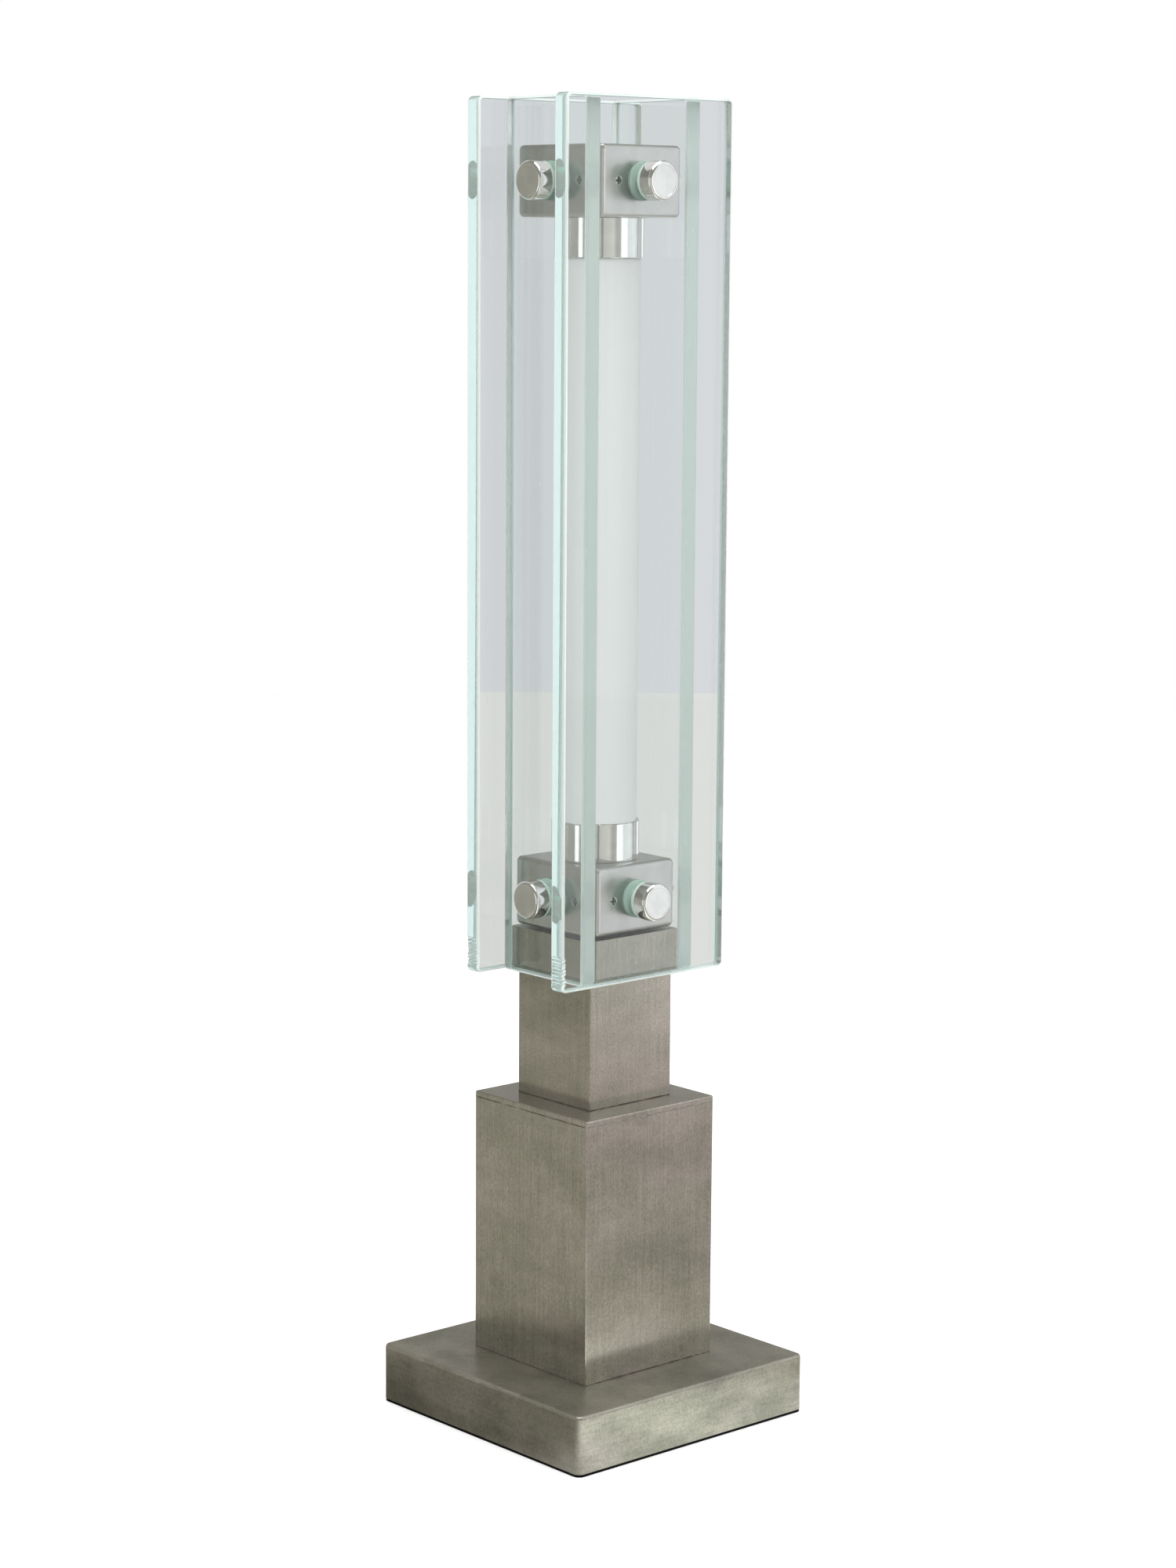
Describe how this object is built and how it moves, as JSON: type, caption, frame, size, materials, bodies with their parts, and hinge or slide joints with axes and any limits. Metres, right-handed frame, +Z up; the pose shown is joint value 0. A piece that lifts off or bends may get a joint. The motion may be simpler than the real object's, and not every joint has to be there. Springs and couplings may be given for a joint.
{
  "type": "table lamp",
  "caption": "Table lamp: stepped square metal foot and post carrying a frosted light tube inside clear glass plates held by stand-off caps.",
  "frame": {"origin": "centre of the pad's underside, on the lamp's vertical axis", "axes": "+Z up along the lamp's axis; +Y towards the rear, where the cord entry and the switch are; +X towards one wide glass plate"},
  "size_m": [0.168, 0.191, 0.726],
  "materials": {
    "brushed_foot": "brushed, worn satin",
    "satin_block": "fine satin, nearly polished",
    "chrome": "polished",
    "clear_glass": "clear plate, ground edges",
    "frosted_glass": "white frosted",
    "bulb_glass": "clear",
    "soft_washer": "translucent",
    "gasket": "translucent",
    "nylon": "natural",
    "pad": "matt",
    "black_plastic": "moulded",
    "lead_sheath": "smooth",
    "cast_iron": "as cast, painted",
    "aluminium": "machined",
    "zinc_steel": "zinc plated",
    "brass": "bright",
    "nickel": "nickel plated"
  },
  "bodies": {
    "lamp": {"base_pad": "pad", "base_shell": "brushed_foot", "base_weight": "cast_iron", "block_spacer": "black_plastic", "bottom_cover": "zinc_steel", "bulb_cap": "brass", "bulb_glass": "bulb_glass", "cap_front_lower": "chrome", "cap_front_upper": "chrome", "cap_left_lower": "chrome", "cap_left_upper": "chrome", "cap_rear_lower": "chrome", "cap_rear_upper": "chrome", "cap_right_lower": "chrome", "cap_right_upper": "chrome", "cap_washers": "soft_washer", "cord_gland": "black_plastic", "cover_screws": "zinc_steel", "diffuser_tube": "frosted_glass", "gland_nut": "black_plastic", "holder_contact": "brass", "lamp_lead": "lead_sheath", "lamp_pipe": "zinc_steel", "lampholder": "black_plastic", "lower_block": "satin_block", "lower_block_plate": "satin_block", "lower_block_screws": "chrome", "lower_core": "aluminium", "lower_ferrule": "chrome", "lower_tube_seal": "gasket", "pane_front": "clear_glass", "pane_gaskets": "gasket", "pane_left": "clear_glass", "pane_rear": "clear_glass", "pane_right": "clear_glass", "pane_sleeves": "nylon", "pedestal_foot_plate": "zinc_steel", "pedestal_top_plate": "brushed_foot", "pedestal_tube": "brushed_foot", "pipe_bottom_nut": "zinc_steel", "pipe_bottom_washer": "zinc_steel", "pipe_top_nut": "zinc_steel", "pipe_top_washer": "zinc_steel", "post_foot_plate": "zinc_steel", "post_top_plate": "zinc_steel", "post_tube": "brushed_foot", "standoff_studs": "zinc_steel", "switch_body": "black_plastic", "switch_bushing": "nickel", "switch_nut": "nickel", "toggle_pin": "zinc_steel", "upper_block": "satin_block", "upper_block_lid": "satin_block", "upper_block_screws": "chrome", "upper_core": "aluminium", "upper_ferrule": "chrome", "upper_tube_seal": "gasket"},
    "lever": {"toggle_lever": "nickel"}
  },
  "joints": [
    {"name": "switch_toggle", "type": "hinge", "parent": "lamp", "child": "lever", "pos_m": [0.042, 0.0885, 0.016], "axis": [1, 0, 0], "range_deg": [0, 28]}
  ]
}
